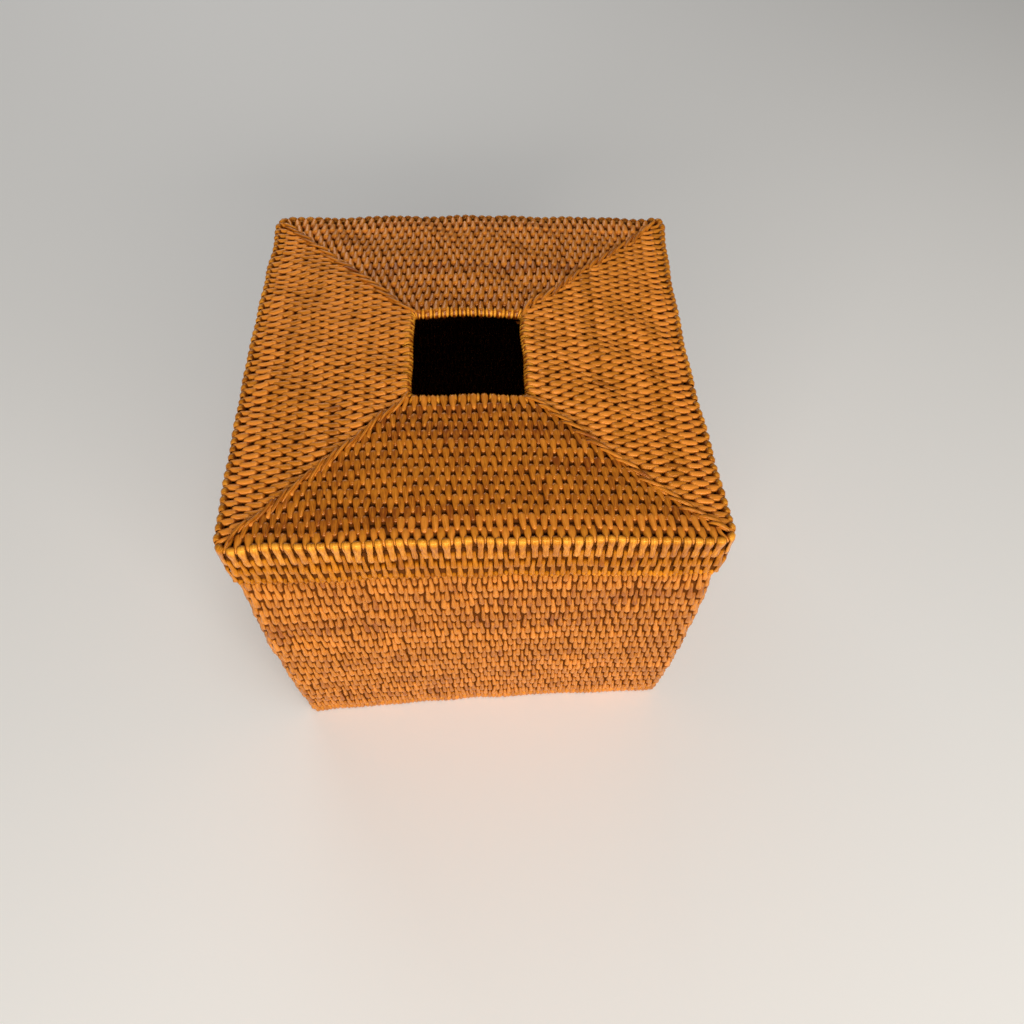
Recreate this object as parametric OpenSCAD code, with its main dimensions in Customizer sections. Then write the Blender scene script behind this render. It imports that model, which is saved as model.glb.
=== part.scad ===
// Square tissue box cover in coiled rattan: a lift-off lid with a square
// opening, and a straight-sided body with an inner collar and a coiled base.
// Each course is one closed hoop of oval cane together with its binding.
// Origin: centre of the footprint, on the surface the box stands on. +Z is up.

/* [Lid] */
// Clear width of the square tissue opening, measured between the rim canes
opening_w = 38; // [25:1:60]
// Thickness of the wrapped round rod that edges the tissue opening
opening_rim_w = 4.4; // [3:0.1:6]
// Width of one course of the lid's top, side by side, which is also the thickness of the skirt
lid_cane_w = 3.7; // [2.8:0.05:5]
// Height of one course of the lid, standing on edge
lid_cane_h = 6.3; // [5.1:0.1:8]
// Courses between the rim of the opening and the edge course
top_courses = 14; // [10:1:16]
// Skirt courses between the edge course and the bottom rim of the lid
skirt_courses = 2; // [1:1:3]

/* [Body] */
// Thickness of one wall course
wall_cane_w = 3.7; // [2.8:0.05:4.4]
// Height of one wall course, standing on edge
wall_cane_h = 5.4; // [4.5:0.05:7]
// Wall courses, stacked from the base to the lid
wall_courses = 21; // [12:1:23]
// Collar courses bound behind the top of the wall
collar_courses_low = 2; // [1:1:2]
// Collar courses that rise into the lid
collar_courses_high = 2; // [1:1:2]

/* [Base] */
// Height of the underside of the coiled base above the surface that the box stands on
base_rise = 0.8; // [0.5:0.1:3]
// Hoops of the base, its canes laid flat, from the wall in to the centre piece
base_courses = 12; // [9:1:14]
// Least width of the square centre piece where the base coil starts
base_centre_least_w = 9; // [8:0.5:14]

/* [Corners] */
// Radius at the middle of the cane where a hoop turns a corner
corner_r = 3.4; // [2.8:0.1:5.2]

/* [Fits] */
// Gap between the lid's skirt and the collar, and how far the lid stands proud of the wall
lid_clearance = 0.8; // [0.4:0.1:1.5]
// Gap between the bottom rim of the lid and the top wall course
seat_gap = 0.3; // [0.2:0.05:0.6]
// Gap between neighbouring courses, where the binding is pulled tight
course_gap = 0.05; // [0.02:0.01:0.1]
// Depth of the flat worn on the underside of the lowest wall course
foot_flat = 0.5; // [0.2:0.1:1]

/* [Hidden] */
$fn = 48;
collar_courses = collar_courses_low + collar_courses_high;

// Half widths, out to the outer face of each hoop
opening_half = opening_w / 2 + opening_rim_w;
edge_half = opening_half + (top_courses + 1) * lid_cane_w;
wall_half = edge_half - lid_clearance;
collar_half = wall_half - wall_cane_w;
base_half = wall_half - wall_cane_w;

// Base: its hoops share the way in to the centre piece in whole steps, and the centre takes the rest
size_step = 0.01;
base_cane_w = floor((base_half - base_centre_least_w / 2) / base_courses / size_step) * size_step;
base_centre_w = 2 * (base_half - base_courses * base_cane_w);

// Heights, to the middle of each hoop
wall_first_z = wall_cane_h / 2 - foot_flat;
wall_top_z = wall_courses * wall_cane_h - foot_flat;
rim_z = wall_top_z + seat_gap + lid_cane_h / 2;
top_z = rim_z + (skirt_courses + 1) * lid_cane_h;
opening_rim_z = top_z + (lid_cane_h - opening_rim_w) / 2;
collar_first_z = wall_top_z - (collar_courses_low - 1 / 2) * wall_cane_h;
base_z = base_rise + wall_cane_w / 2;

// Smallest inner radius of a corner, as a share of the cane's width
tight_corner_share = 0.1;
// Rounding of the centre piece, as a share of its width
centre_round_share = 0.25;

cane_color = [0.78, 0.45, 0.13];
rim_color = [0.85, 0.52, 0.17];
shade_color = [0.62, 0.33, 0.10];

// A name with a two-figure number, counted from the opening, the seat or the floor
function numbered(name, i) = str(name, "_", i < 10 ? "0" : "", i);

// Cross-section of a cane with its binding: an oval with flat long sides, or a disc if it is as high as wide
module cane_section(w, h) {
  full_w = w - course_gap;
  full_h = h - course_gap;
  small = min(full_w, full_h);
  run = max(full_w, full_h) - small;
  turn = full_w < full_h ? 90 : 0;
  rotate(turn) {
    if (run > 0)
      square([run, small], center = true);
    for (side = [-1, 1])
      translate([side * run / 2, 0])
        circle(d = small);
  }
}

// One straight side of a hoop, along X, at distance out from the middle
module hoop_side(out, length, w, h) {
  translate([-length / 2, -out, 0])
    rotate([90, 0, 90])
      linear_extrude(height = length)
        cane_section(w, h);
}

// One rounded corner of a hoop, round the point (out - r, -(out - r))
module hoop_corner(out, r, w, h) {
  translate([out - r, r - out, 0])
    rotate([0, 0, -90])
      rotate_extrude(angle = 90)
        translate([r, 0])
          cane_section(w, h);
}

// A square hoop, half as wide as given at its outer face, centred at height z
module hoop(half, w, h, z) {
  out = half - w / 2;
  r = max(corner_r, w * (1 / 2 + tight_corner_share));
  translate([0, 0, z])
    for (quarter = [0 : 3])
      rotate([0, 0, 90 * quarter]) {
        hoop_side(out, 2 * (out - r), w, h);
        hoop_corner(out, r, w, h);
      }
}

// The wrapped rod round the tissue opening, flush with the top of the lid
module lid_opening_rim() {
  color(rim_color)
    hoop(opening_half, opening_rim_w, opening_rim_w, opening_rim_z);
}

// One course of the lid's top, counted outwards from the opening
module lid_top_course(i) {
  color(cane_color)
    hoop(opening_half + i * lid_cane_w, lid_cane_w, lid_cane_h, top_z);
}

// The course that turns from the lid's top to its skirt
module lid_edge_course() {
  color(rim_color)
    hoop(edge_half, lid_cane_w, lid_cane_h, top_z);
}

// One course of the skirt, counted downwards from the edge course
module lid_skirt_course(i) {
  color(cane_color)
    hoop(edge_half, lid_cane_w, lid_cane_h, top_z - i * lid_cane_h);
}

// The closely wrapped bottom edge of the lid
module lid_bottom_rim() {
  color(rim_color)
    hoop(edge_half, lid_cane_w, lid_cane_h, rim_z);
}

// One course of the inner collar, counted upwards
module collar_course(i) {
  color(shade_color)
    hoop(collar_half, wall_cane_w, wall_cane_h, collar_first_z + (i - 1) * wall_cane_h);
}

// One wall course, counted upwards; the lowest is worn flat where it stands
module wall_course(i) {
  color(cane_color)
    difference() {
      hoop(wall_half, wall_cane_w, wall_cane_h, wall_first_z + (i - 1) * wall_cane_h);
      if (i == 1)
        translate([-edge_half, -edge_half, -wall_cane_h])
          cube([2 * edge_half, 2 * edge_half, wall_cane_h]);
    }
}

// One hoop of the base, its cane laid flat, counted inwards from the wall
module base_course(i) {
  color(shade_color)
    hoop(base_half - (i - 1) * base_cane_w, base_cane_w, wall_cane_w, base_z);
}

// The first turns of the base coil, wound tight into one small block
module base_centre() {
  block = base_centre_w - course_gap;
  rounding = block * centre_round_share;
  color(shade_color)
    translate([0, 0, base_z - (wall_cane_w - course_gap) / 2])
      linear_extrude(height = wall_cane_w - course_gap)
        union() {
          square([block, block - 2 * rounding], center = true);
          square([block - 2 * rounding, block], center = true);
          for (x = [-1, 1], y = [-1, 1])
            translate([x * (block / 2 - rounding), y * (block / 2 - rounding)])
              circle(r = rounding);
        }
}

lid_opening_rim();
for (i = [1 : top_courses])
  lid_top_course(i);
lid_edge_course();
for (i = [1 : skirt_courses])
  lid_skirt_course(i);
lid_bottom_rim();
for (i = [1 : collar_courses])
  collar_course(i);
for (i = [1 : wall_courses])
  wall_course(i);
for (i = [1 : base_courses])
  base_course(i);
base_centre();
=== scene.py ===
"""Looks of the coiled rattan tissue box cover.

Every course of the box is a hoop of cane, and split rattan strips stitch it to the course before.
A stitch is a closed loop of strip round two neighbouring canes, so it shows outside and inside.
Stitches of neighbouring courses stand half a spacing apart, which leaves the dark holes between them.
Lists of four values for the sides of the box go front, right, back, left.
"""

import math

import bpy
import numpy as np
from mathutils import Matrix, Vector


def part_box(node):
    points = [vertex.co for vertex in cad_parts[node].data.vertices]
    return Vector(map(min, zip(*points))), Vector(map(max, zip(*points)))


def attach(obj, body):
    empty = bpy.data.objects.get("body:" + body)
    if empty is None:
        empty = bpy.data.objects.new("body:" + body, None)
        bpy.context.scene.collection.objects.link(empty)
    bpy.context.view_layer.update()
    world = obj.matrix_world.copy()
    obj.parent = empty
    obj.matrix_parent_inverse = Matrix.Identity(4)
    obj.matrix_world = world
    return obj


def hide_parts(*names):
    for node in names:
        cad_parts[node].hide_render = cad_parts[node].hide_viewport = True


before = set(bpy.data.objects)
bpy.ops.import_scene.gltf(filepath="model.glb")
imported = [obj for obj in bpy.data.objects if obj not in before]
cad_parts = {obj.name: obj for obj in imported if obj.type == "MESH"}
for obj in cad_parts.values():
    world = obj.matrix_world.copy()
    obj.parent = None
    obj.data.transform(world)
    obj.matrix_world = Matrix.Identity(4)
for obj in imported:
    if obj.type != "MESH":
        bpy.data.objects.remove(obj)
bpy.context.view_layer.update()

MM = 0.001
SIDES = 4

rng = np.random.default_rng(5739)

# Strips of split rattan
STRIP_T = 0.70 * MM  # thickness
# Section, crowned on its outer side: (share of the width across, share of the thickness out)
STRIP_SECTION = np.array([(-0.5, -0.85), (-0.34, 0.0), (0.0, 0.60), (0.34, 0.0), (0.5, -0.85), (0.0, -1.0)])
# How far each point of the section is darkened by painted shade, where its sides sink into the creases, from
# 0 on its crown to 1
SECTION_PAINTED_SHADE = np.array([0.60, 0.12, 0.0, 0.12, 0.60, 0.8])
MEAN_WIDTH = 0.6  # mean width of a stitch, as a share of the stitch spacing

# Canes inside the binding
CORNER_R = 3.4 * MM  # radius at the middle of a cane where its hoop turns a corner
CORNER_LEAST_SHARE = 0.6  # least such radius, as a share of the cane's width
CORE_SIDES = 12  # sides of the tube that a cane is drawn as
CORE_STEP = 4 * MM  # length of one step of that tube along a straight side
CORE_CORNER_STEPS = 6  # steps of that tube round a corner
CORE_GAP = 0.05 * MM  # how far the tube stays inside its course where it meets the next cane
CORE_UNDER = 1.15 * STRIP_T  # how far it stays inside where the binding covers it

# Stitch counts and places
STITCHES_A_QUARTER = 46  # stitches of one wall course along a quarter of its way round
OPENING_WRAPS = 28  # wraps along a quarter of the way round the tissue opening
GAP_FOR_ONE_MORE = 0.55  # gap at a row's end that takes another stitch, as a share of the spacing
PLACE_SPREAD = 0.05  # how unevenly the stitches stand, as a share of their spacing
WIDTH_SPREAD = 0.05  # how unevenly wide they are, as a share of their width
LEAN_SPREAD = 0.18  # how unevenly they lean, as a share of their lean
SLANT_SPREAD = 0.05  # how far they slant by chance, as a share of their spacing

# Width of a stitch as a share of the stitch spacing, from its end on the older course (-1)
# over the groove between its two canes (0) to its end on the newer course (1)
# The lid's edge course, the base, and the front and back panels of the lid's top
FLAT_WIDTHS = [(-1, 0.64), (-0.7, 0.80), (-0.4, 0.84), (0, 0.75), (0.4, 0.64), (0.8, 0.52), (1, 0.42)]
# The right and left panels of the lid's top, where the strips are straighter
BAR_WIDTHS = [(-1, 0.60), (-0.75, 0.72), (-0.4, 0.76), (0, 0.74), (0.4, 0.68), (0.8, 0.58), (1, 0.46)]
# The walls and the collar
WALL_WIDTHS = [(-1, 0.50), (-0.75, 0.70), (-0.45, 0.80), (0, 0.54), (0.4, 0.44), (0.85, 0.38), (1, 0.30)]
# The first skirt course, whose strips turn over the edge of the lid
OVER_EDGE_WIDTHS = [(-1, 0.62), (-0.9, 0.80), (-0.25, 0.84), (0, 0.62), (0.5, 0.72), (0.8, 0.72), (1, 0.56)]
# The rest of the skirt and the lid's bottom rim, wide at the newer, lower end
SKIRT_WIDTHS = [(-1, 0.34), (-0.85, 0.40), (-0.5, 0.44), (0, 0.52), (0.5, 0.72), (0.8, 0.74), (1, 0.56)]
WRAP_SHARE = 0.97  # width of a wrap, as a share of its spacing
RIM_WRAP_SHARE = 1.02  # the same on the lid's bottom rim
PEG_SHARE = 0.62  # the same on the top course of the wall and of the collar

# How a stitch lies
TOP_LEAN = -0.15 * MM  # half of how far a stitch drifts sideways from its old end to its new
SKIRT_LEAN = 0.22 * MM
WALL_LEAN = 0.15 * MM
TOP_SAG = 0.12 * MM  # how far a stitch is pulled in at the groove between its canes
SKIRT_SAG = 0.15 * MM
WALL_SAG = 0.22 * MM
GROOVE_REACH = 0.4  # how far from the groove that pull is felt, as a share of the cane
LONG_SIDE = 0.3  # a stitch sags where its normal leans less than this towards the next cane
TUCK = 0.26 * MM  # how far the new end of a stitch sinks and its old end rises
FLAT_TIP, WALL_TIP = 0.62, 0.64  # where a stitch begins to dive in between the canes and to darken with painted shade, as a share of half its length
TIP_FADE = 0.14  # over how much of that half its painted shade grows to full
FLAT_DIVE, WALL_DIVE = 0.5 * MM, 1.4 * MM  # how far the ends of a stitch dive in between the canes
END_UP = 0.25  # how far above a flat cane's middle a stitch ends, as a share of the cane's height
SKIRT_CROWN = 0.6  # crown of the skirt's strips, as a share of the crown of the others
OPENING_WRAP_OUT = -0.12 * MM  # how far the strips stand out of their course's section
OVER_EDGE_OUT = 0.10 * MM
RIM_WRAP_OUT = 0.14 * MM
EDGE_OUT = -0.45 * MM  # the edge course lies under the strips of the first skirt course
MITRE_PAST = 1.0 * MM  # how far past the corner of the inner cane a row of stitches may go
FAN_REACH = 9 * MM  # stitches nearer than this to the diagonal turn towards it
FAN_MOST = 1.1 * MM  # how far the ends of the last stitch turn
FAN_CURVE = 1.5  # how sharply that turn grows

# Tones, from 0 for dark to 1 for light
MIDDLE_TONE = 0.5
LEAST_TONE, MOST_TONE = 0.02, 0.98
TONE_SPREAD = 0.13  # between one strip and the next
CALM_SPREAD = 0.06  # the same on the walls, the collar and the skirt
STITCH_SPREAD = 0.055  # between one stitch and the next of the same strip
STRIP_RUN = 26  # how many stitches a strip lasts for, from half to twice as many
COURSE_SPREAD = 0.12  # between one course and the next
CALM_COURSES_SHARE = 0.6  # share of that spread on the walls and the skirt
# How much lighter some courses are
OPENING_TONE = 0.25
EDGE_TONE = 0.30
OVER_EDGE_TONE = 0.10
RIM_TONE = 0.05
WRAP_TONE = 0.05
# The panels of the lid's top differ in the width of their strips and their form, and their tone is painted
# light and shade: the right and left panels lighter, the front darker, as light falls on them
PANEL_WIDTHS = np.array([1.0, 1.03, 1.02, 1.03])
PANEL_BARS = np.array([False, True, False, True])
PANEL_PAINTED_LIGHT = np.array([-0.16, 0.32, 0.06, 0.30])
PANEL_OUTWARD_PAINTED_LIGHT = np.array([-0.08, 0.06, 0.46, 0.14])  # painted sheen and shade: how much lighter the outer courses are than the inner, most on the back panel
EDGE_PAINTED_HIGHLIGHT = np.array([0.38, 0.10, 0.05, 0.10])  # painted highlight: how much lighter strips are where they turn over the edge, most on the front that faces the light
INSIDE_FULL = 0.5  # a strip takes the painted shade of the inside in full where its normal faces inwards, or down on a flat panel, by this or more
SEEDS = 100  # range of the places that the strips' grain is cut from

# Strands that cross the diagonals of a flat panel, one for each course, laid like rope
STRAND_LENGTH = 10.4 * MM
STRAND_WIDTH = 1.3 * MM
STRAND_T = 0.9 * MM  # thickness
STRAND_TONE = 0.42
STRAND_TURN = math.radians(15)  # angle between a strand and its diagonal
STRAND_TURN_SPREAD = 0.05  # how unevenly they are turned, in radians
STRAND_STRAY = 0.30 * MM  # how far a strand lies off its diagonal by chance
STRAND_ASIDE = 0.12 * MM  # how far it is pushed sideways by chance
STRAND_SIZE_SPREAD = 0.06  # how uneven the lengths and widths are
STRAND_BOW, STRAND_BOW_SPREAD = 0.35 * MM, 0.4  # how far a strand is bowed, and how unevenly
STRAND_IN = 0.5 * MM  # how far inside the corner of the groove its middle lies
STRAND_DEPTH = 1.1 * MM  # how deep its ends lie under the surface of the panel
STRAND_RISE, STRAND_RISE_CURVE = 1.35 * MM, 3.5  # how far its middle rises over its ends, and how squarely
STRAND_END_WIDTH, STRAND_SWELL = 0.55, 0.45  # share of the width at its ends, and the rest
STRAND_SWELL_CURVE = 2.5
STRAND_ROLL = 0.30  # how far its section is rolled, in radians
STRAND_DARK_FROM, STRAND_DARK_OVER = 0.7, 0.3  # where the painted shade of its ends begins, and over how much it grows, as shares of half its length
STRAND_END_SHADE, STRAND_SIDE_SHADE = 0.7, 0.3  # how far its ends and its two sides are darkened by painted shade
STRAND_SIDE_FROM = 0.9  # a point of the section is on a side where it lies further out than this
STRAND_ROUND = 4 * MM  # length round its section that the map of its grain takes
STRAND_POINTS = 13
STRAND_SECTION = 8
# The second set of strands lies under the first, beside and between them
UNDER_SHIFT = 2.6 * MM  # how far nearer to the middle
UNDER_SIZE = 0.70
UNDER_BESIDE = -0.6 * MM
UNDER_LOWER = -0.60 * MM
EDGE_STRAND_SHIFT = 2.2 * MM  # the same shift for the strands of the edge course
EDGE_STRAND_SIZE = 0.75

# The piece that the base's coil starts from
CENTRE_WRAPS = 6
CENTRE_R = 1 * MM
CENTRE_STRAIGHT = 20 * MM
CENTRE_QUARTER = 30 * MM
BASE_END_IN = 0.6 * MM  # how far inside the corner the wraps of the innermost base course end

# Unevenness of hand work: a smooth field that moves neighbouring strips alike
WAVE_COUNT = 7
WAVE_NUMBERS = (90, 330)  # least and most radians that a wave gains in a metre along an axis
WAVE_SIZE = 0.09 * MM  # how far one wave moves a point along an axis
FIRM = 6 * MM  # the box stands firm: below this height the field doesn't lift it in full

# The photographed box is out of true, as hand work is: the whole weave follows these small, smooth shifts
WALL_TURN = 0.034  # turn of the foot of the walls under the lid, in radians, anticlockwise seen from above
FOOT_SHIFT = (0.2 * MM, 0.3 * MM)
FOOT_IN = 0.6 * MM  # how far the foot of each wall stands in
WALL_SWELL = 1.2 * MM  # how far the walls stand out halfway up
OPENING_SHIFT = (-1.0 * MM, -3.8 * MM)
CROWN = 4.8 * MM  # rise of the middle of the lid's top
LEFT_BOW, RIGHT_BOW = 1.1 * MM, -2.6 * MM  # outward bows of the sides
FRONT_BOW, BACK_BOW = -1.6 * MM, 2.6 * MM
CORNER_IN, CORNER_CURVE = 0.7 * MM, 3  # how far the back left corner stands in, and how locally
FLARE_OUT, FLARE_UP = 1.3 * MM, 1.5 * MM  # how far the lid's back corners are drawn out and up
FLARE_CURVE = 12  # how locally
LID_SINK = 2.9 * MM  # how far the weight of the lid's top has pressed its skirt together
LID_TOP_FROM = 125 * MM  # the lid's top lies above this height, the collar and the skirt's foot below
LID_TOP_OVER = 6 * MM  # height over which its shifts grow to their full size

# Lines and maps
ARC_STEP = math.radians(24)
LINE_STEP = 2.2 * MM  # longest step of a straight stretch
SAME_DIGITS = 7  # centres that agree to this many decimals are one
TINY_TURN = 1e-12  # a corner of a hull turns by more than this
TINY_ANGLE = 1e-9
DISC_POINTS = 8
CELL_ASPECT = 5.0  # how many times longer than wide a strip's cell of the bake map is
CELL_MARGIN = 0.06  # empty edge of a cell, as a share of it
BINDING, CANE = 0, 1  # material slots of a piece


# Courses

class Course:
    """One hoop of the box: its place comes from the CAD node that it stands for."""

    def __init__(self, node, body, slot, width, flat=False):
        low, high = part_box(node)
        self.node, self.body, self.slot = node, body, slot
        self.flat = flat  # whether its panel lies flat, so that the next course is beside it
        self.half = high.x
        self.w = width
        self.h = high.z - low.z
        self.z = (high.z + low.z) / 2
        self.out = self.half - width / 2
        self.r = max(CORNER_R, width * CORNER_LEAST_SHARE)
        self.straight = 2 * (self.out - self.r)
        self.quarter = self.straight + math.pi / 2 * self.r


def outer_half(node):
    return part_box(node)[1].x


def courses(name, body, slot, width, flat=False):
    """The courses of the nodes called name_01, name_02 and so on, in order."""
    names = sorted(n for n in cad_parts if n.startswith(name + "_"))
    return [Course(n, body, slot, width, flat) for n in names]


rim_low, rim_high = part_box("lid_opening_rim")

# Widths across the canes, from the steps between neighbouring nodes
lid_w = outer_half("lid_top_course_02") - outer_half("lid_top_course_01")
wall_w = outer_half("wall_course_01") - outer_half("collar_course_01")
base_w = outer_half("base_course_01") - outer_half("base_course_02")
rim_w = rim_high.z - rim_low.z  # the rim is a round rod, as thick as it is high

top = courses("lid_top_course", "lid", "lid_binding", lid_w, flat=True)
opening_rim = Course("lid_opening_rim", "lid", "rim_binding", rim_w, flat=True)
edge = Course("lid_edge_course", "lid", "rim_binding", lid_w, flat=True)
skirt = courses("lid_skirt_course", "lid", "lid_binding", lid_w)
lid_rim = Course("lid_bottom_rim", "lid", "rim_binding", lid_w)
collar = courses("collar_course", "body", "inner_binding", wall_w)
wall = courses("wall_course", "body", "wall_binding", wall_w)
base = courses("base_course", "body", "inner_binding", base_w, flat=True)

panel_spacing = edge.quarter / STITCHES_A_QUARTER  # of the stitches of the lid's top and of the base
lid_half = outer_half("lid_edge_course")
opening_half = rim_high.x
wall_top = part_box(wall[-1].node)[1].z


# Lines that the canes and strips follow

def hoop_path(course, s):
    """Points and outward normals at distances s along the middle of a hoop, measured from mid-front.

    The hoop is a square with rounded corners, walked anticlockwise seen from above.
    """
    s = np.mod(s + course.straight / 2, SIDES * course.quarter)
    side = np.floor(s / course.quarter)
    t = s - side * course.quarter
    reach = course.out - course.r
    turn = np.clip((t - course.straight) / course.r, 0, None)
    nx, ny = np.sin(turn), -np.cos(turn)
    x = np.where(turn > 0, reach + course.r * nx, t - reach)
    y = np.where(turn > 0, -reach + course.r * ny, -course.out)
    a = side * (math.pi / 2)
    c, d = np.cos(a), np.sin(a)
    return x * c - y * d, x * d + y * c, nx * c - ny * d, nx * d + ny * c


def oval_centres(course, n=0.0):
    """The two middles of the round ends of a cane's oval section, and their radius, less half a strip.

    Sections are drawn in (n, z): n is outwards from the middle of the cane, and z is up.
    """
    small = min(course.w, course.h) / 2
    run = max(course.w, course.h) / 2 - small
    if course.w < course.h:
        ends = [(n, course.z - run), (n, course.z + run)]
    else:
        ends = [(n - run, course.z), (n + run, course.z)]
    return ends, small - STRIP_T / 2


def hull(points):
    """Convex hull of a few sorted points, anticlockwise."""

    def turns_left(a, b, c):
        return (b[0] - a[0]) * (c[1] - a[1]) - (b[1] - a[1]) * (c[0] - a[0]) > TINY_TURN

    def half_hull(ordered):
        chain = []
        for point in ordered:
            while len(chain) > 1 and not turns_left(chain[-2], chain[-1], point):
                chain.pop()
            chain.append(point)
        return chain[:-1]

    return half_hull(points) + half_hull(reversed(points))


def outline(centres, radius):
    """Closed line round discs at centres: points (n, z) and their outward normals."""
    corners = sorted({(round(n, SAME_DIGITS), round(z, SAME_DIGITS)) for n, z in centres})
    if len(corners) == 1:
        turns = np.arange(0, 2 * math.pi, ARC_STEP)
        normals = np.stack([np.cos(turns), np.sin(turns)], -1)
        return np.array(corners) + radius * normals, normals
    corners = hull(corners)
    points, normals = [], []

    def add(n, z, angle):
        normals.append((math.cos(angle), math.sin(angle)))
        points.append((n + radius * math.cos(angle), z + radius * math.sin(angle)))

    for i, (n, z) in enumerate(corners):
        last_n, last_z = corners[i - 1]
        next_n, next_z = corners[(i + 1) % len(corners)]
        # the outward normal of an edge walked anticlockwise is to its right
        start = math.atan2(-(n - last_n), z - last_z)
        end = math.atan2(-(next_n - n), next_z - z)
        while end < start - TINY_ANGLE:
            end += 2 * math.pi
        steps = max(2, round((end - start) / ARC_STEP))
        for k in range(steps + 1):
            add(n, z, start + (end - start) * k / steps)
        inner = max(1, int(math.hypot(next_n - n, next_z - z) / LINE_STEP))
        for k in range(1, inner + 1):
            share = k / (inner + 1)
            add(n + (next_n - n) * share, z + (next_z - z) * share, end)
    return np.array(points), np.array(normals)


def pair_outline(course, other):
    """The line round two neighbouring canes, in sections measured from the middle of the first."""
    ends, radius = oval_centres(course)
    other_ends, other_radius = oval_centres(other, other.out - course.out)
    thicker = other_radius - radius
    if thicker > 0:
        turns = [2 * math.pi * k / DISC_POINTS for k in range(DISC_POINTS)]
        disc = [(thicker * math.cos(a), thicker * math.sin(a)) for a in turns]
        other_ends = [(n + dn, z + dz) for n, z in other_ends for dn, dz in disc]
    return outline(ends + other_ends, radius)


def lengths_round(line):
    """How far round a closed line each of its points lies, and at the end its whole length."""
    steps = np.hypot(*np.diff(np.vstack([line, line[:1]]), axis=0).T)
    return np.concatenate([[0], np.cumsum(steps)])


def lengths_across(spacing):
    """How far across a strip, over its section and back under it, each point of the section lies."""
    across = np.append(STRIP_SECTION[:, 0], STRIP_SECTION[0, 0]) * spacing * MEAN_WIDTH
    return np.concatenate([[0], np.cumsum(np.abs(np.diff(across)))])


def along_stitch(line, old_end, new_end):
    """Where each point of a closed line lies between two of its points: -1 at the old end, 1 at the new."""
    steps = np.hypot(*(np.roll(line, -1, axis=0) - line).T)
    place = np.concatenate([[0], np.cumsum(steps)[:-1]])
    whole = steps.sum()
    a = place[np.argmin(np.hypot(*(line - old_end).T))]
    b = place[np.argmin(np.hypot(*(line - new_end).T))]
    forward = np.mod(place - a, whole)
    reach = np.mod(b - a, whole)
    return np.where(forward <= reach, 2 * forward / reach - 1, 1 - 2 * (forward - reach) / (whole - reach))


# Unevenness and bends

def wave():
    """One wave of the uneven field: its phase gained along each axis, and where it starts for each axis."""
    number = rng.uniform(*WAVE_NUMBERS, 3) * rng.choice([-1, 1], 3)
    return number, rng.uniform(0, 2 * math.pi, 3)


waves = [wave() for _ in range(WAVE_COUNT)]


def uneven(points):
    """The points, each moved by the field."""
    move = sum(WAVE_SIZE * np.sin((points @ number)[:, None] + phase) for number, phase in waves)
    move[:, 2] *= np.clip(points[:, 2] / FIRM, 0, 1)
    return points + move


def out_of_true(points):
    """The points, moved as the photographed box is out of square."""
    x, y, z = points.T
    across, along = np.clip(x / lid_half, -1, 1), np.clip(y / lid_half, -1, 1)

    # Walls that swell halfway up and are turned and drawn in at the foot
    low = np.clip(1 - z / wall_top, 0, 1)
    swell = 1 + (WALL_SWELL * np.sin(low * math.pi) - FOOT_IN * low) / lid_half
    turn = WALL_TURN * low
    c, s = np.cos(turn) * swell, np.sin(turn) * swell
    new_x = x * c - y * s + FOOT_SHIFT[0] * low
    new_y = x * s + y * c + FOOT_SHIFT[1] * low

    # Bowed sides, and the back left corner
    bow_x, bow_y = np.cos(across * math.pi / 2), np.cos(along * math.pi / 2)
    new_x += bow_y * (RIGHT_BOW * (1 + across) - LEFT_BOW * (1 - across)) / 2
    new_y += bow_x * (BACK_BOW * (1 + along) - FRONT_BOW * (1 - along)) / 2
    new_x += CORNER_IN * (1 - across) / 2 * ((1 + along) / 2) ** CORNER_CURVE

    # The lid's top: its opening off the middle, and its crown
    in_top = np.clip((z - LID_TOP_FROM) / LID_TOP_OVER, 0, 1)
    from_edge = np.clip((lid_half - np.maximum(abs(x), abs(y))) / (lid_half - opening_half), 0, 1)
    new_x += OPENING_SHIFT[0] * (in_top * from_edge)
    new_y += OPENING_SHIFT[1] * (in_top * from_edge)
    new_z = z + CROWN * in_top * (1 - across ** 2) * (1 - along ** 2)

    # The whole lid: its back corners drawn out and up, and its skirt pressed together
    up_the_lid = np.clip((z - wall_top) / (rim_high.z - wall_top), 0, 1)
    flare = up_the_lid * np.abs(across * along) ** FLARE_CURVE * (1 + along) / 2
    new_x += FLARE_OUT * flare * np.sign(across)
    new_y += FLARE_OUT * flare
    new_z += FLARE_UP * flare
    new_z -= LID_SINK * up_the_lid
    return np.stack([new_x, new_y, new_z], -1)


# Meshes

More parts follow.
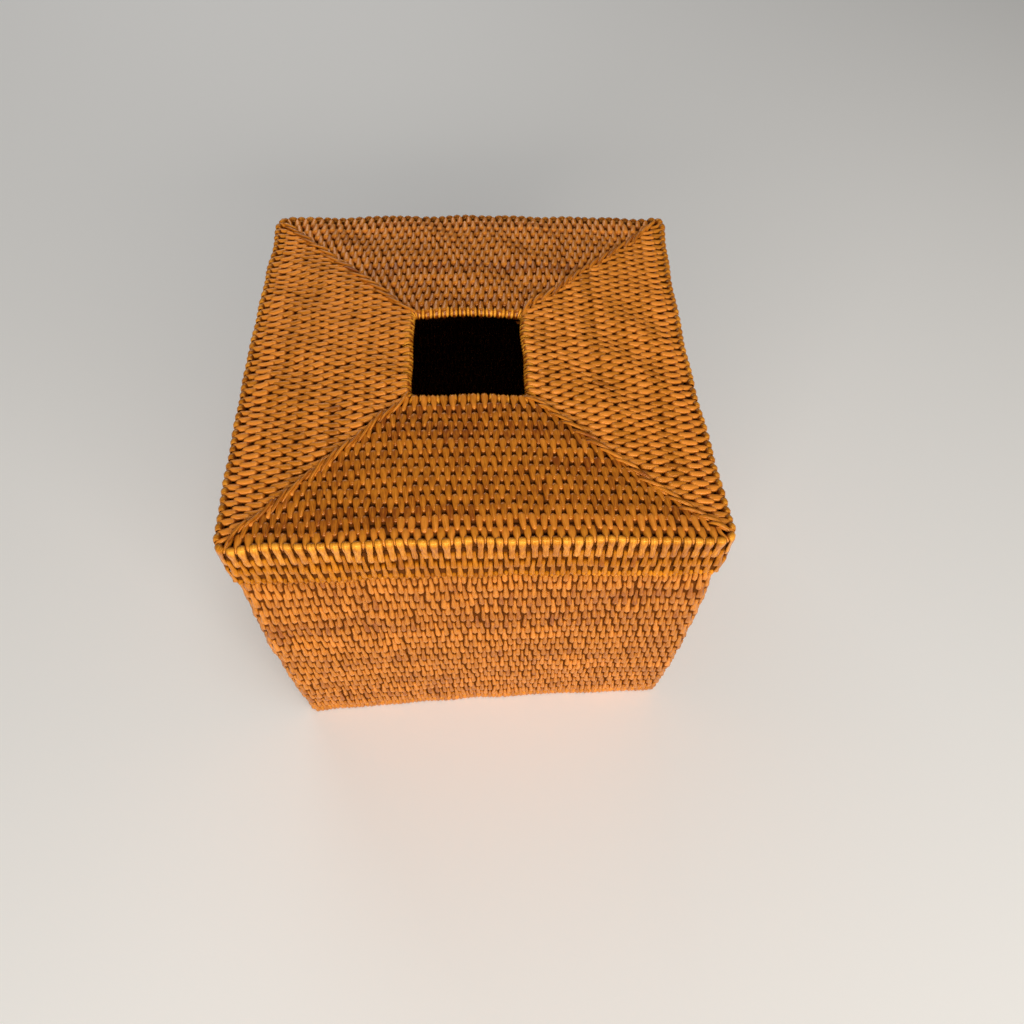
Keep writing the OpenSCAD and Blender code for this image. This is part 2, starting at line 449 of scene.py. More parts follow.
class Weave:
    """Gathers the canes and strips of one piece as arrays, and writes them as one mesh."""

    def __init__(self):
        self.verts, self.quads, self.slots = [], [], []
        self.values = {"tone": [], "seed": [], "rim": [], "inside": []}
        self.maps, self.cells = [], []
        self.vert_count = 0
        self.strip_count = 0

    def add(self, grid, slot, along, across, closed=True, **values):
        """A batch of tubes: grid is (tubes, points along, points round, 3), and closed ones join end to end.

        along and across are lengths for the map. The values become point attributes, which the finishes
        of the strips read: tone, seed, the painted shade on the sides and tips, and the painted shade where a
        strip faces inwards.
        """
        k, m, c, _ = grid.shape
        steps = m if closed else m - 1
        first = self.vert_count + np.arange(k)[:, None, None] * (m * c)
        i, j = np.meshgrid(np.arange(steps), np.arange(c), indexing="ij")
        i2, j2 = (i + 1) % m, (j + 1) % c
        quad = np.stack([i * c + j, i2 * c + j, i2 * c + j2, i * c + j2], -1).reshape(1, -1, 4)
        quads = (first + quad).reshape(-1, 4)
        self.verts.append(grid.reshape(-1, 3))
        self.quads.append(quads)
        self.slots.append(np.full(len(quads), slot))
        for name, gathered in self.values.items():
            gathered.append(np.broadcast_to(values[name], (k, m, c)).ravel())

        # Two maps by corner: lengths along and across in millimetres, and shares of the strip's own cell
        corner_i = np.stack([i, i + 1, i + 1, i], -1)
        corner_j = np.stack([j, j, j + 1, j + 1], -1)
        shape = (k, quad.size, 2)
        lengths = np.stack([np.asarray(along)[corner_i], np.asarray(across)[corner_j]], -1).reshape(1, -1, 2)
        self.maps.append(np.broadcast_to(lengths, shape).reshape(-1, 2) / MM)
        shares = np.broadcast_to(np.stack([corner_i / steps, corner_j / c], -1).reshape(1, -1, 2), shape)
        number = np.broadcast_to((self.strip_count + np.arange(k))[:, None, None], (k, quad.size, 1))
        self.cells.append(np.concatenate([shares, number], -1).reshape(-1, 3))
        self.strip_count += k
        self.vert_count += k * m * c

    def build(self, name, materials):
        """The piece as an object, bent as the photographed box is."""
        verts = out_of_true(uneven(np.concatenate(self.verts)))
        quads = np.concatenate(self.quads)
        mesh = bpy.data.meshes.new(name)
        mesh.vertices.add(len(verts))
        mesh.vertices.foreach_set("co", verts.ravel())
        mesh.loops.add(quads.size)
        mesh.loops.foreach_set("vertex_index", quads.ravel())
        mesh.polygons.add(len(quads))
        mesh.polygons.foreach_set("loop_start", np.arange(0, quads.size, 4))
        mesh.polygons.foreach_set("material_index", np.concatenate(self.slots).astype(np.int32))
        for value_name, gathered in self.values.items():
            layer = mesh.attributes.new(value_name, "FLOAT", "POINT")
            layer.data.foreach_set("value", np.concatenate(gathered).astype(np.float32))
        mesh.update(calc_edges=True)
        self.add_map(mesh, "Strip", np.concatenate(self.maps))
        self.add_map(mesh, "OFBake", self.cell_places())
        mesh.shade_smooth()
        for material in materials:
            mesh.materials.append(material)
        piece = bpy.data.objects.new(name, mesh)
        bpy.context.scene.collection.objects.link(piece)
        return piece

    def add_map(self, mesh, name, places):
        layer = mesh.uv_layers.new(name=name)
        layer.uv.foreach_set("vector", places.astype(np.float32).ravel())

    def cell_places(self):
        """Places in the bake map, where every strip has a cell of its own."""
        along, across, number = np.concatenate(self.cells).T
        columns = max(1, math.ceil(math.sqrt(self.strip_count / CELL_ASPECT)))
        rows = math.ceil(self.strip_count / columns)
        column, row = np.mod(number, columns), np.floor(number / columns)
        u = (column + CELL_MARGIN + along * (1 - 2 * CELL_MARGIN)) / columns
        v = (row + CELL_MARGIN + across * (1 - 2 * CELL_MARGIN)) / rows
        return np.stack([u, v], -1)


def ring_piece(course, weave, suffix="woven", finish=None):
    """Writes the piece of a course, with the finish of its slot or another."""
    piece = weave.build(f"{course.node}_{suffix}", [MATERIALS[finish or course.slot], MATERIALS["cane"]])
    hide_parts(course.node)
    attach(piece, course.body)


# Canes and strips

def core(weave, course, side_by_side=False, alone=False):
    """The cane inside a course, as one closed tube round the hoop.

    It is tight against the next canes, which are side by side with it or above and below it, unless it is
    alone. On its other sides it stays under the binding.
    """
    small = min(course.w, course.h) / 2
    run = (max(course.w, course.h) - min(course.w, course.h)) / 2
    inset_n = CORE_GAP if side_by_side and not alone else CORE_UNDER
    inset_z = CORE_UNDER if side_by_side or alone else CORE_GAP
    a = np.linspace(0, 2 * math.pi, CORE_SIDES, endpoint=False) + math.pi / CORE_SIDES
    n, z = (small - inset_n) * np.cos(a), (small - inset_z) * np.sin(a)
    if course.w < course.h:
        z = z + np.sign(z) * run
    else:
        n = n + np.sign(n) * run
    s = []
    for side in range(SIDES):
        start = side * course.quarter - course.straight / 2
        steps = max(1, round(course.straight / CORE_STEP))
        s += [start + course.straight * k / steps for k in range(steps)]
        corner = start + course.straight
        s += [corner + course.r * math.pi / 2 * k / CORE_CORNER_STEPS for k in range(CORE_CORNER_STEPS)]
    s = np.array(s)
    x, y, nx, ny = hoop_path(course, s[:, None] + 0 * n)
    grid = np.stack([x + nx * n, y + ny * n, course.z + z + 0 * x], -1)[None]
    along = np.concatenate([s - s[0], [SIDES * course.quarter]])
    across = np.linspace(0, 2 * math.pi * small, CORE_SIDES + 1)
    weave.add(grid, CANE, along, across, tone=0.0, seed=rng.random() * SEEDS, rim=0.0, inside=0.0)


def course_tone():
    return float(rng.normal(0, COURSE_SPREAD))


def strip_tones(count, tone, spread=TONE_SPREAD):
    """Tones of the stitches of one course: one strip lasts for a run of stitches, then the next begins."""
    tones = np.empty(count)
    start = -rng.integers(0, STRIP_RUN)
    while start < count:
        length = int(rng.integers(STRIP_RUN // 2, STRIP_RUN * 2))
        tones[max(0, start):start + length] = rng.normal(0, spread)
        start += length
    tones = MIDDLE_TONE + tone + tones + rng.normal(0, STITCH_SPREAD, count)
    return np.clip(tones, LEAST_TONE, MOST_TONE)


def quarter_places(course, parity, count=STITCHES_A_QUARTER):
    """Places of the stitches all the way round a hoop, evenly spaced, with its corners, and their spacing."""
    spacing = course.quarter / count
    s = (np.arange(SIDES * count) + parity / 2) * spacing
    return s + rng.normal(0, PLACE_SPREAD, len(s)) * spacing, spacing


def straight_places(course, limit, spacing, parity):
    """Places along the four straight sides, symmetric about their middles, within limit of them."""
    count = int((limit - parity * spacing / 2) / spacing)
    steps = np.arange(-count - parity, count + 1) + parity / 2
    if limit / spacing - steps[-1] > GAP_FOR_ONE_MORE:
        steps = np.concatenate([[-limit / spacing], steps, [limit / spacing]])
    s = np.concatenate([side * course.quarter + steps * spacing for side in range(SIDES)])
    return s + rng.normal(0, PLACE_SPREAD, len(s)) * spacing


def strips(weave, course, line, normals, u, width, s, spacing, tones, lean=0.0, fan=0.0, crown=1.0,
           worn=0.0):
    """Closed strips at places s along a hoop, each round the same line in the course's section.

    Each point of the line has its place u along the stitch, from -1 to 1, and its width. Lean and fan move
    the ends sideways, and a crown below one makes the section flatter. Where strips bend over an edge a
    painted highlight makes them lighter.
    """
    count = len(s)
    wide = 1 + rng.normal(0, WIDTH_SPREAD, (count, 1, 1))
    side = (np.floor((s + course.straight / 2) / course.quarter) % SIDES).astype(int)
    if course in top:
        bars = np.interp(u, *zip(*BAR_WIDTHS)) * spacing
        width = np.where(PANEL_BARS[side][:, None], bars, width)
        wide = wide * PANEL_WIDTHS[side][:, None, None]
        outward = (course.out - opening_rim.out) / (edge.out - opening_rim.out)
        # Painted light and shade by panel, and a painted sheen that grows outwards
        tones = tones + PANEL_PAINTED_LIGHT[side] + PANEL_OUTWARD_PAINTED_LIGHT[side] * (outward - 1 / 2)
    slant = lean * (1 + rng.normal(0, LEAN_SPREAD, (count, 1, 1)))
    slant = slant + rng.normal(0, SLANT_SPREAD * spacing, (count, 1, 1)) - np.reshape(fan, (-1, 1, 1))

    # The section is set out across the strip along the hoop, and out along the normals
    section_across, section_out = STRIP_SECTION.T
    across = section_across * np.broadcast_to(width, (count, len(line)))[:, :, None] * wide
    highest = section_out.max()
    out = (highest - (highest - section_out) * crown) * STRIP_T
    along = s[:, None, None] + across - slant * u[None, :, None]
    n = np.broadcast_to(line[None, :, None, 0] + out * normals[None, :, None, 0], along.shape)
    z = np.broadcast_to(line[None, :, None, 1] + out * normals[None, :, None, 1], along.shape)
    x, y, nx, ny = hoop_path(course, along)
    grid = np.stack([x + nx * n, y + ny * n, z], -1)

    # Painted shade on the tips and sides of the strips and where they face inwards, and a painted highlight
    # where a strip faces up and out alike
    tip = np.clip((np.abs(u) - (FLAT_TIP if course.flat else WALL_TIP)) / TIP_FADE, 0, 1)
    rim = np.maximum(SECTION_PAINTED_SHADE, tip[None, :, None])
    inwards = -normals[:, 1] if course.flat else -normals[:, 0]
    inside = np.clip(inwards / INSIDE_FULL, 0, 1)[None, :, None]
    bend = np.clip(2 * normals[:, 0] * normals[:, 1], 0, 1)[None, :, None]
    tones = tones[:, None, None] + np.broadcast_to(worn, SIDES)[side][:, None, None] * bend
    weave.add(grid, BINDING, lengths_round(line), lengths_across(spacing), tone=tones,
              seed=rng.random((count, 1, 1)) * SEEDS, rim=rim, inside=inside)


def wraps(weave, course, section, s, spacing, tones, share=WRAP_SHARE, out=0.0):
    """Strips of one width round a single cane. Out lifts them off it."""
    line, normals = section
    line = line + normals * out
    width = np.full(len(line), spacing * share)
    strips(weave, course, line, normals, np.zeros(len(line)), width, s, spacing, tones)


def stitches(weave, course, section, ends, groove, s, spacing, tones, widths, sag, tuck=TUCK, out=0.0,
             **form):
    """Strips round the two canes that they bind together.

    A sag pulls them in at the groove, whose middle and reach are given. A tuck sinks their new ends under
    the neighbours' old ends, and out lifts them off the canes.
    """
    line, normals = section
    line = line + normals * out
    u = along_stitch(line, *ends)
    width = np.interp(u, *zip(*widths)) * spacing
    axis = 0 if course.flat else 1
    middle, reach = groove
    level = np.abs(normals[:, axis]) < LONG_SIDE
    near = np.clip(np.abs(line[:, axis] - middle) / reach, 0, 1)
    tip, depth = (FLAT_TIP, FLAT_DIVE) if course.flat else (WALL_TIP, WALL_DIVE)
    dive = depth * np.clip((np.abs(u) - tip) / (1 - tip), 0, 1)
    line = line - normals * (sag * level * np.cos(near * math.pi / 2) ** 2 + tuck * u + dive)[:, None]
    strips(weave, course, line, normals, u, width, s, spacing, tones, **form)


def stitched_hoop(course, other, parity, lean, sag, tone, widths=WALL_WIDTHS, **form):
    """A course whose stitches go right round its hoop, corners too: the walls, the skirt and the collar."""
    weave = Weave()
    core(weave, course)
    s, spacing = quarter_places(course, parity)
    up = 1 if course.z > other.z else -1
    old_end = (0, other.z - up * other.h / 2)
    new_end = (0, course.z + up * course.h / 2)
    if other is edge:
        old_end = (-other.w / 2, other.z + other.h * END_UP)
    groove = ((course.z + other.z) / 2, course.h * GROOVE_REACH)
    tones = strip_tones(len(s), tone, CALM_SPREAD)
    stitches(weave, course, pair_outline(course, other), (old_end, new_end), groove, s, spacing, tones,
             widths, sag, lean=up * lean, **form)
    return weave


def wrapped_hoop(weave, course, parity, count=STITCHES_A_QUARTER, tone=WRAP_TONE, foot=False, **form):
    """Wraps round one cane only, or round no more than the foot of its oval section."""
    s, spacing = quarter_places(course, parity, count)
    ends, radius = oval_centres(course)
    section = outline(ends[:1] if foot else ends, radius)
    wraps(weave, course, section, s, spacing, strip_tones(len(s), tone), **form)


def flat_ring(course, inner, parity, tone, out=0.0):
    """A course of a flat panel: stitches on its four sides, which stop at the diagonals."""
    weave = Weave()
    core(weave, course, side_by_side=True, alone=course is edge)
    limit = inner.out + MITRE_PAST
    s = straight_places(course, limit, panel_spacing, parity)
    from_middle = np.mod(s + course.quarter / 2, course.quarter) - course.quarter / 2
    near_end = np.clip(1 - (limit - np.abs(from_middle)) / FAN_REACH, 0, 1)
    fan = np.sign(from_middle) * FAN_MOST * near_end ** FAN_CURVE
    gap = inner.out - course.out
    foot = -1 if course is edge else 1
    old_end = (gap - inner.w / 2, inner.z + inner.h * END_UP)
    new_end = (course.w / 2, course.z + foot * course.h * END_UP)
    groove = (gap / 2, course.w * GROOVE_REACH)
    tones = strip_tones(len(s), tone)
    stitches(weave, course, pair_outline(course, inner), (old_end, new_end), groove, s, panel_spacing, tones,
             FLAT_WIDTHS, TOP_SAG, out=out, lean=TOP_LEAN, fan=fan)
    return weave


# Strands over the diagonals

def strand_set(weave, course, inner, up=1, shift=0.0, size=1.0, beside=0.0, lower=0.0):
    """Four strands, one on each diagonal, that bind a course to the one inside it where they turn.

    up is 1 for the upper side of the panel and -1 for its underside. A set may be shifted towards the
    middle, be of another size, and lie beside and below the first.
    """
    t = np.linspace(-1, 1, STRAND_POINTS)
    a = np.linspace(0, 2 * math.pi, STRAND_SECTION, endpoint=False)
    surface = course.z + up * (course.h / 2)
    middle = (course.out + inner.out) / 2 * math.sqrt(2) - STRAND_IN - shift
    lift = lower - STRAND_DEPTH + STRAND_RISE * (1 - np.abs(t) ** STRAND_RISE_CURVE)
    swell = STRAND_END_WIDTH + STRAND_SWELL * (1 - np.abs(t) ** STRAND_SWELL_CURVE)
    roll = up * STRAND_ROLL
    grids = []
    for side in range(SIDES):
        angle = math.radians(-45) + side * math.pi / 2 + up * rng.normal(0, STRAND_STRAY) / middle
        centre = Vector((math.cos(angle), math.sin(angle))) * middle
        heading = angle + up * (STRAND_TURN + rng.normal(0, STRAND_TURN_SPREAD))
        along = t * (STRAND_LENGTH / 2 * size * (1 + rng.normal(0, STRAND_SIZE_SPREAD)))
        bow = STRAND_BOW * rng.normal(1, STRAND_BOW_SPREAD)
        aside = bow * (1 - t ** 2) + rng.normal(0, STRAND_ASIDE) + up * beside
        px = centre.x + along * math.cos(heading) - aside * math.sin(heading)
        py = centre.y + along * math.sin(heading) + aside * math.cos(heading)
        width = STRAND_WIDTH * swell * (1 + rng.normal(0, STRAND_SIZE_SPREAD))
        flat_off = np.cos(a)[None, :] * width[:, None] / 2
        flat_rise = np.sin(a)[None, :] * STRAND_T / 2
        off = flat_off * math.cos(roll) - flat_rise * math.sin(roll)
        rise = flat_off * math.sin(roll) + flat_rise * math.cos(roll)
        x = px[:, None] - off * math.sin(heading)
        y = py[:, None] + off * math.cos(heading)
        z = surface + up * (lift[:, None] + rise)
        grid = np.stack([x, y, z], -1)
        grids.append(grid if up > 0 else grid[:, ::-1])
    # Painted shade at the ends and sides of each strand
    ends = np.clip((np.abs(t) - STRAND_DARK_FROM) / STRAND_DARK_OVER, 0, 1)[None, :, None]
    rim = ends * STRAND_END_SHADE + STRAND_SIDE_SHADE * (np.abs(np.cos(a)) > STRAND_SIDE_FROM)
    weave.add(np.array(grids), BINDING, np.linspace(0, STRAND_LENGTH, STRAND_POINTS),
              np.linspace(0, STRAND_ROUND, STRAND_SECTION + 1), closed=False,
              tone=rng.normal(STRAND_TONE, TONE_SPREAD, (SIDES, 1, 1)),
              seed=rng.random((SIDES, 1, 1)) * SEEDS, rim=rim, inside=0.0)


def mitre_strands(weave, course, inner):
    """Two sets of strands on each side of a panel: one on top, and one laid under it."""
    for up in (1, -1):
        strand_set(weave, course, inner, up)
        strand_set(weave, course, inner, up, UNDER_SHIFT, UNDER_SIZE, UNDER_BESIDE, UNDER_LOWER)


# Materials

DARK = (0.270, 0.062, 0.006)
LIGHT = (0.880, 0.300, 0.036)
GOLDEN = (0.960, 0.400, 0.040)
STRIP_PAINTED_SHADE = (0.32, 0.18, 0.11)  # painted shade: what the colour is multiplied by at the sides and tips of a strip, where they sink into the creases and holes
INSIDE_PAINTED_SHADE = (0.34, 0.27, 0.24)  # painted shade: the same on the inside of the box, which lies in shade
GRAIN_ALONG, GRAIN_ACROSS = 0.22, 2.1  # how finely the grain changes along and across a strip, for each mm
GRAIN_SCALE, GRAIN_DETAIL = 1.6, 3.0
GRAIN_STRENGTH = 1.25
PATCH_SCALE, PATCH_DETAIL = 150.0, 5.0
PATCH_STRENGTH = 0.85
NOISE_MIDDLE = 0.5
COAT_ROUGHNESS = 0.20
COAT_TINT = (1.0, 0.86, 0.62)
AMBER = (1.0, 0.50, 0.18)  # tint of the varnish's gloss
BUMP_STRENGTH, BUMP_DEPTH = 0.6, 0.18 * MM
CANE_SCALE = 220.0
# Colours of the cane: dark, as painted shade in the holes between the stitches
CANE_PAINTED_SHADE_STOPS = [(0.3, (0.075, 0.021, 0.004)), (0.7, (0.150, 0.044, 0.008))]
# Sockets of Blender's Mix node when it mixes colours
MIX_FACTOR, MIX_A, MIX_B, MIX_RESULT = 0, 6, 7, 2


def node(tree, kind, **values):
    made = tree.nodes.new(kind)
    for key, value in values.items():
        setattr(made, key, value)
    return made


def fill(made, **values):
    """Sets inputs of a node by their names, with their spaces as underscores."""
    for name, value in values.items():
        made.inputs[name.replace("_", " ")].default_value = value


def ramp(tree, stops):
    made = node(tree, "ShaderNodeValToRGB")
    elements = made.color_ramp.elements
    while len(elements) < len(stops):
        elements.new(0.5)
    for element, (place, colour) in zip(elements, stops):
        element.position = place
        element.color = (*colour, 1)
    return made


def attribute(tree, name):
    return node(tree, "ShaderNodeAttribute", attribute_name=name).outputs["Fac"]


def math_node(tree, operation, a, b):
    made = node(tree, "ShaderNodeMath", operation=operation)
    for socket, value in zip(made.inputs, (a, b)):
        if isinstance(value, float):
            socket.default_value = value
        else:
            tree.links.new(value, socket)
    return made.outputs[0]


def multiply_colour(tree, factor, colour, shade):
    made = node(tree, "ShaderNodeMix", data_type="RGBA", blend_type="MULTIPLY")
    tree.links.new(factor, made.inputs[MIX_FACTOR])
    tree.links.new(colour, made.inputs[MIX_A])
    made.inputs[MIX_B].default_value = (*shade, 1)
    return made.outputs[MIX_RESULT]


def noise(tree, scale, detail):
    made = node(tree, "ShaderNodeTexNoise")
    fill(made, Scale=scale, Detail=detail)
    return made


def grain_noise(tree):
    """Fibres along each strip, cut from a different place for every strip."""
    strip = node(tree, "ShaderNodeUVMap", uv_map="Strip")
    apart = node(tree, "ShaderNodeSeparateXYZ")
    place = node(tree, "ShaderNodeCombineXYZ")
    tree.links.new(strip.outputs[0], apart.inputs[0])
    tree.links.new(math_node(tree, "MULTIPLY", apart.outputs[0], GRAIN_ALONG), place.inputs[0])
    tree.links.new(math_node(tree, "MULTIPLY", apart.outputs[1], GRAIN_ACROSS), place.inputs[1])
    tree.links.new(attribute(tree, "seed"), place.inputs[2])
    made = noise(tree, GRAIN_SCALE, GRAIN_DETAIL)
    tree.links.new(place.outputs[0], made.inputs["Vector"])
    return made.outputs[0]


def patch_noise(tree):
    """Patches where the varnish took darker."""
    position = node(tree, "ShaderNodeTexCoord")
    made = noise(tree, PATCH_SCALE, PATCH_DETAIL)
    tree.links.new(position.outputs["Object"], made.inputs["Vector"])
    return made.outputs[0]


def about_zero(tree, value, strength):
    """A noise moved to vary about zero, times its strength."""
    return math_node(tree, "MULTIPLY", math_node(tree, "SUBTRACT", value, NOISE_MIDDLE), strength)


def strip_colour(tree, grain, middle, light):
    """The colour for the strip's tone, moved by grain and patches, and darker with painted shade on its
    sides, tips and inside.
    """
    moves = math_node(tree, "ADD", about_zero(tree, grain, GRAIN_STRENGTH),
                      about_zero(tree, patch_noise(tree), PATCH_STRENGTH))
    colour = ramp(tree, [(0, DARK), (0.5, middle), (1, light)])
    tree.links.new(math_node(tree, "ADD", attribute(tree, "tone"), moves), colour.inputs[0])
    shaded = multiply_colour(tree, attribute(tree, "rim"), colour.outputs[0], STRIP_PAINTED_SHADE)
    return multiply_colour(tree, attribute(tree, "inside"), shaded, INSIDE_PAINTED_SHADE)


def varnish(shader, roughness, coat, tint, gloss):
    fill(shader, Roughness=roughness, Specular_IOR_Level=gloss, Specular_Tint=(*tint, 1))
    fill(shader, Coat_Weight=coat, Coat_Roughness=COAT_ROUGHNESS, Coat_Tint=(*COAT_TINT, 1))


def rattan(name, middle, light, roughness, coat, tint=AMBER, gloss=0.8):
    """Varnished split rattan: grain along each strip, a tone of its own, darker with painted shade at its
    edges and ends.
    """
    material = bpy.data.materials.new(name)
    material.use_nodes = True
    tree = material.node_tree
    tree.nodes.clear()
    shader = node(tree, "ShaderNodeBsdfPrincipled")
    surface = node(tree, "ShaderNodeOutputMaterial")
    tree.links.new(shader.outputs[0], surface.inputs[0])
    grain = grain_noise(tree)
    tree.links.new(strip_colour(tree, grain, middle, light), shader.inputs["Base Color"])
    varnish(shader, roughness, coat, tint, gloss)
    bump = node(tree, "ShaderNodeBump")
    fill(bump, Strength=BUMP_STRENGTH, Distance=BUMP_DEPTH)
    tree.links.new(grain, bump.inputs["Height"])
    tree.links.new(bump.outputs[0], shader.inputs["Normal"])
    return material


def lid_rattan():
    return rattan("lid_rattan", (0.610, 0.200, 0.013), LIGHT, roughness=0.27, coat=0.15)


def rim_rattan():
    return rattan("rim_rattan", (0.68, 0.235, 0.015), LIGHT, roughness=0.28, coat=0.16)


def wall_rattan():
    return rattan("wall_rattan", (0.58, 0.195, 0.014), LIGHT, roughness=0.38, coat=0.11)


# Darker than the rest: painted shade for the collar and base, which stand inside the box
def inner_rattan_painted_shade():
    return rattan("inner_rattan_painted_shade", (0.30, 0.100, 0.012), (0.45, 0.17, 0.03), roughness=0.60, coat=0.05)


def edge_rattan():
    """The golden, smooth strips that turn over the lid's edge, and the wraps of the opening."""
    return rattan("edge_rattan", (0.56, 0.185, 0.009), GOLDEN, roughness=0.20, coat=0.08,
                  tint=(1.0, 0.55, 0.10), gloss=0.6)


def skirt_rattan():
    """The rest of the skirt, which is duller."""
    return rattan("skirt_rattan", (0.47, 0.150, 0.004), (0.76, 0.265, 0.012), roughness=0.30, coat=0.03,
                  tint=(1.0, 0.46, 0.08), gloss=0.25)


def cane_core():
    """The cane, coloured dark as painted shade for the holes between the stitches."""
    material = bpy.data.materials.new("rattan_cane")
    material.use_nodes = True
    tree = material.node_tree
    shader = tree.nodes["Principled BSDF"]
    streaks = node(tree, "ShaderNodeTexNoise")
    fill(streaks, Scale=CANE_SCALE)
    colour = ramp(tree, CANE_PAINTED_SHADE_STOPS)
    tree.links.new(streaks.outputs[0], colour.inputs[0])
    tree.links.new(colour.outputs[0], shader.inputs["Base Color"])
    fill(shader, Roughness=0.8, Specular_IOR_Level=0.0)
    return material


MATERIALS = {
    "lid_binding": lid_rattan(),
    "rim_binding": rim_rattan(),
    "wall_binding": wall_rattan(),
    "inner_binding": inner_rattan_painted_shade(),
    "over_edge": edge_rattan(),
    "skirt": skirt_rattan(),
    "cane": cane_core(),
}


# The lid

def make_opening_rim():
    weave = Weave()
    core(weave, opening_rim, alone=True)
    wrapped_hoop(weave, opening_rim, 0, OPENING_WRAPS, OPENING_TONE, out=OPENING_WRAP_OUT)
    ring_piece(opening_rim, weave, "wrapped", finish="over_edge")


def make_lid_top():
    inner = opening_rim
    for number, course in enumerate(top, start=1):
        weave = flat_ring(course, inner, number % 2, course_tone())
        mitre_strands(weave, course, inner)
        ring_piece(course, weave)
        inner = course


def make_edge():
    weave = flat_ring(edge, top[-1], (len(top) + 1) % 2, EDGE_TONE, out=EDGE_OUT)
    strand_set(weave, edge, top[-1], shift=EDGE_STRAND_SHIFT, size=EDGE_STRAND_SIZE)
    ring_piece(edge, weave)


def make_over_edge():
    """The first skirt course, whose strips turn over the edge of the lid."""
    tone = course_tone() * CALM_COURSES_SHARE + OVER_EDGE_TONE
    weave = stitched_hoop(skirt[0], edge, len(top) % 2, SKIRT_LEAN, SKIRT_SAG, tone, OVER_EDGE_WIDTHS,
                          tuck=0.0, out=OVER_EDGE_OUT, crown=SKIRT_CROWN, worn=EDGE_PAINTED_HIGHLIGHT)
    ring_piece(skirt[0], weave, finish="over_edge")


def make_skirt():
    """The rest of the skirt. Its new ends rise over the neighbours' old ends."""
    for number, course in enumerate(skirt[1:], start=1):
        tone = course_tone() * CALM_COURSES_SHARE
        weave = stitched_hoop(course, skirt[number - 1], (len(top) + number) % 2, SKIRT_LEAN, SKIRT_SAG, tone,
                              SKIRT_WIDTHS, tuck=-TUCK, crown=SKIRT_CROWN)
        ring_piece(course, weave, finish="skirt")


def make_lid_rim():
    """The bottom edge of the lid: stitched to the skirt, and closely wrapped round its foot."""
    parity = (len(top) + len(skirt)) % 2
    weave = stitched_hoop(lid_rim, skirt[-1], parity, SKIRT_LEAN, SKIRT_SAG, RIM_TONE, SKIRT_WIDTHS,
                          crown=SKIRT_CROWN)
    wrapped_hoop(weave, lid_rim, 0, 2 * STITCHES_A_QUARTER, foot=True, share=RIM_WRAP_SHARE,
                 out=RIM_WRAP_OUT)
    ring_piece(lid_rim, weave, "wrapped", finish="skirt")


# The body

def make_stack(stack, tone_share):
    """Courses stacked upwards: the first is wrapped, the others are stitched, and the last is both."""
    for number, course in enumerate(stack):
        if number == 0:
            weave = Weave()
            core(weave, course)
            wrapped_hoop(weave, course, 0)
        else:
            weave = stitched_hoop(course, stack[number - 1], number % 2, WALL_LEAN, WALL_SAG,
                                  course_tone() * tone_share)
        if number == len(stack) - 1:
            wrapped_hoop(weave, course, (number + 1) % 2, share=PEG_SHARE)
        ring_piece(course, weave)


def make_wall():
    make_stack(wall, CALM_COURSES_SHARE)


def make_collar():
    make_stack(collar, 1.0)


def make_base():
    """The coiled base. Its innermost course has no course inside it and is only wrapped."""
    for number, course in enumerate(base[:-1]):
        inner = base[number + 1]
        weave = flat_ring(course, inner, number % 2, course_tone())
        mitre_strands(weave, course, inner)
        ring_piece(course, weave)
    last = base[-1]
    weave = Weave()
    core(weave, last, side_by_side=True)
    s = straight_places(last, last.out - BASE_END_IN, panel_spacing, 0)
    wraps(weave, last, outline(*oval_centres(last)), s, panel_spacing, strip_tones(len(s), 0.0))
    ring_piece(last, weave)


def make_base_centre():
    """The start of the base's coil: a few wraps side by side along a straight line.

    Known fault: the middle of that line lies CENTRE_STRAIGHT / 2 + CENTRE_R to the right of the node.
    """
    low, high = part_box("base_centre")
    centre = Course("base_centre", "body", "inner_binding", high.x - low.x, flat=True)
    centre.out, centre.r, centre.straight, centre.quarter = 0.0, CENTRE_R, CENTRE_STRAIGHT, CENTRE_QUARTER
    run = centre.half - centre.h / 2
    section = outline([(-run, centre.z), (run, centre.z)], centre.h / 2 - STRIP_T / 2)
    spacing = centre.w / CENTRE_WRAPS
    s = (np.arange(CENTRE_WRAPS) - (CENTRE_WRAPS - 1) / 2) * spacing
    weave = Weave()
    wraps(weave, centre, section, s, spacing, strip_tones(CENTRE_WRAPS, 0.0))
    ring_piece(centre, weave, "start")


make_opening_rim()
make_lid_top()
make_edge()
make_over_edge()
make_skirt()
make_lid_rim()
make_wall()
make_collar()
make_base()
make_base_centre()


# Stage: floor, lamps and camera, in metres

FLOOR_HALF = 3.0
FLOOR_COLOUR = (0.94, 0.925, 0.895)
FLOOR_ROUGHNESS = 0.6
LAMP_AIM = (0, 0, 0.07)
WARM = (1.0, 0.955, 0.89)
COOL = (0.98, 0.99, 1.0)
SKY = (0.97, 0.985, 1.0)
SKY_STRENGTH = 0.11
CAMERA_EYE = Vector((-2.09, -197.12, 330.76)) * MM
CAMERA_AIM = Vector((18.36, 23.97, 0.0)) * MM
CAMERA_ROLL = math.radians(3.396)
CLIP_START = 0.01
SENSOR = 36.0  # width of the sensor in millimetres
FOCAL_PIXELS = 769.35  # focal length in pixels of the photo
PHOTO_PIXELS = 1024


def floor_paper():
    material = bpy.data.materials.new("paper_floor")
    material.use_nodes = True
    shader = material.node_tree.nodes["Principled BSDF"]
    fill(shader, Base_Color=(*FLOOR_COLOUR, 1), Roughness=FLOOR_ROUGHNESS)
    return material


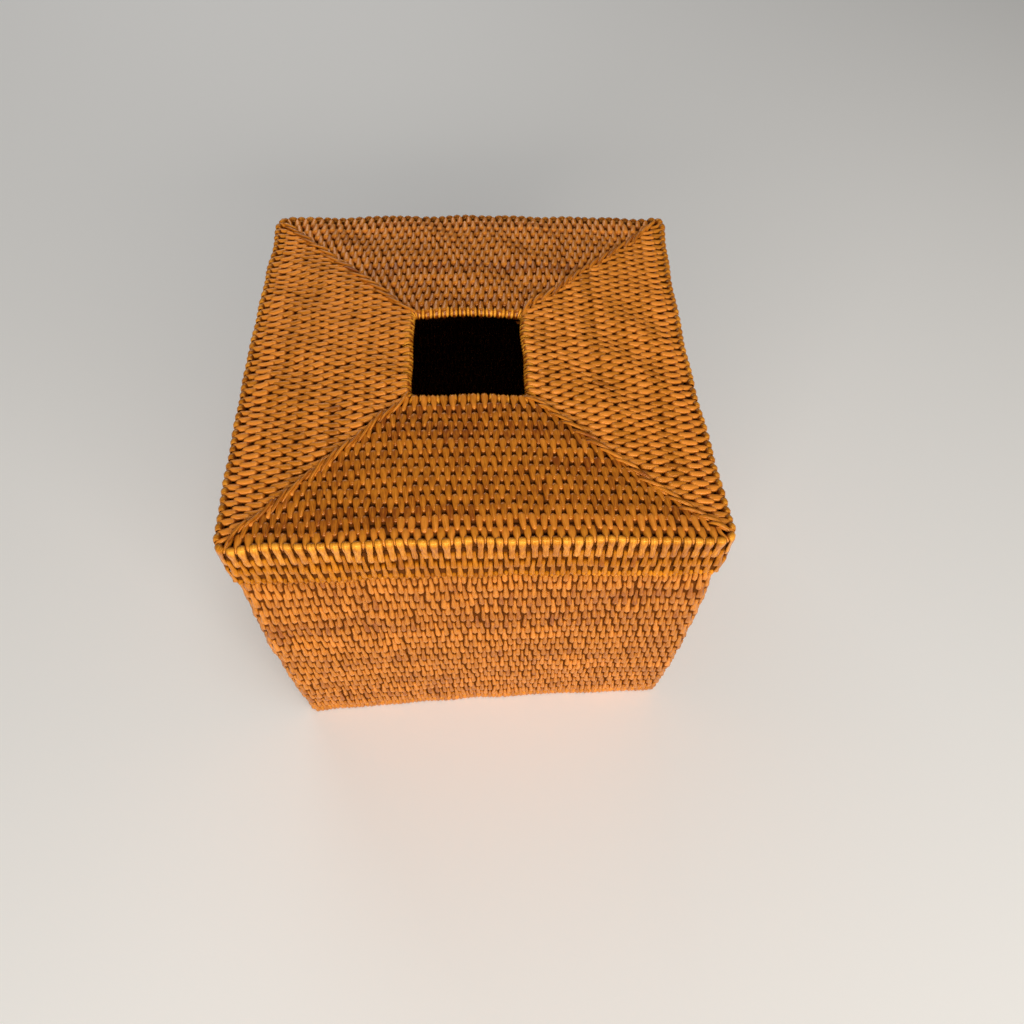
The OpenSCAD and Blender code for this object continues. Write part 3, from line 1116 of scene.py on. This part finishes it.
def make_floor():
    corners = [(x * FLOOR_HALF, y * FLOOR_HALF, 0) for x, y in ((-1, -1), (1, -1), (1, 1), (-1, 1))]
    mesh = bpy.data.meshes.new("floor")
    mesh.from_pydata(corners, [], [(0, 1, 2, 3)])
    mesh.materials.append(floor_paper())
    floor = bpy.data.objects.new("floor", mesh)
    bpy.context.scene.collection.objects.link(floor)


def area_lamp(name, place, size, power, colour):
    lamp = bpy.data.lights.new(name, "AREA")
    lamp.shape = "RECTANGLE"
    lamp.size, lamp.size_y = size
    lamp.energy = power
    lamp.color = colour
    holder = bpy.data.objects.new(name, lamp)
    holder.location = place
    holder.rotation_euler = (Vector(LAMP_AIM) - Vector(place)).to_track_quat("-Z", "Y").to_euler()
    bpy.context.scene.collection.objects.link(holder)


def make_lights():
    """A wide window in front, a lamp on the ceiling, and the pale wall behind the box."""
    area_lamp("front_window", place=(0.15, -1.15, 0.56), size=(1.9, 0.45), power=20, colour=WARM)
    area_lamp("ceiling", place=(0.2, -0.3, 1.3), size=(0.45, 0.45), power=2.9, colour=COOL)
    area_lamp("back_wall", place=(-0.35, 1.2, 0.8), size=(1.0, 0.6), power=3.6, colour=COOL)


def make_world():
    world = bpy.data.worlds.new("studio")
    world.use_nodes = True
    fill(world.node_tree.nodes["Background"], Color=(*SKY, 1), Strength=SKY_STRENGTH)
    bpy.context.scene.world = world


def make_camera():
    camera = bpy.data.cameras.new("camera")
    camera.sensor_width = SENSOR
    camera.lens = SENSOR * FOCAL_PIXELS / PHOTO_PIXELS
    camera.clip_start = CLIP_START
    holder = bpy.data.objects.new("camera", camera)
    look = (CAMERA_AIM - CAMERA_EYE).to_track_quat("-Z", "Y").to_matrix().to_4x4()
    holder.matrix_world = Matrix.Translation(CAMERA_EYE) @ look @ Matrix.Rotation(CAMERA_ROLL, 4, "Z")
    bpy.context.scene.collection.objects.link(holder)
    bpy.context.scene.camera = holder


make_floor()
make_lights()
make_world()
make_camera()
bpy.context.scene.view_settings.view_transform = "Standard"
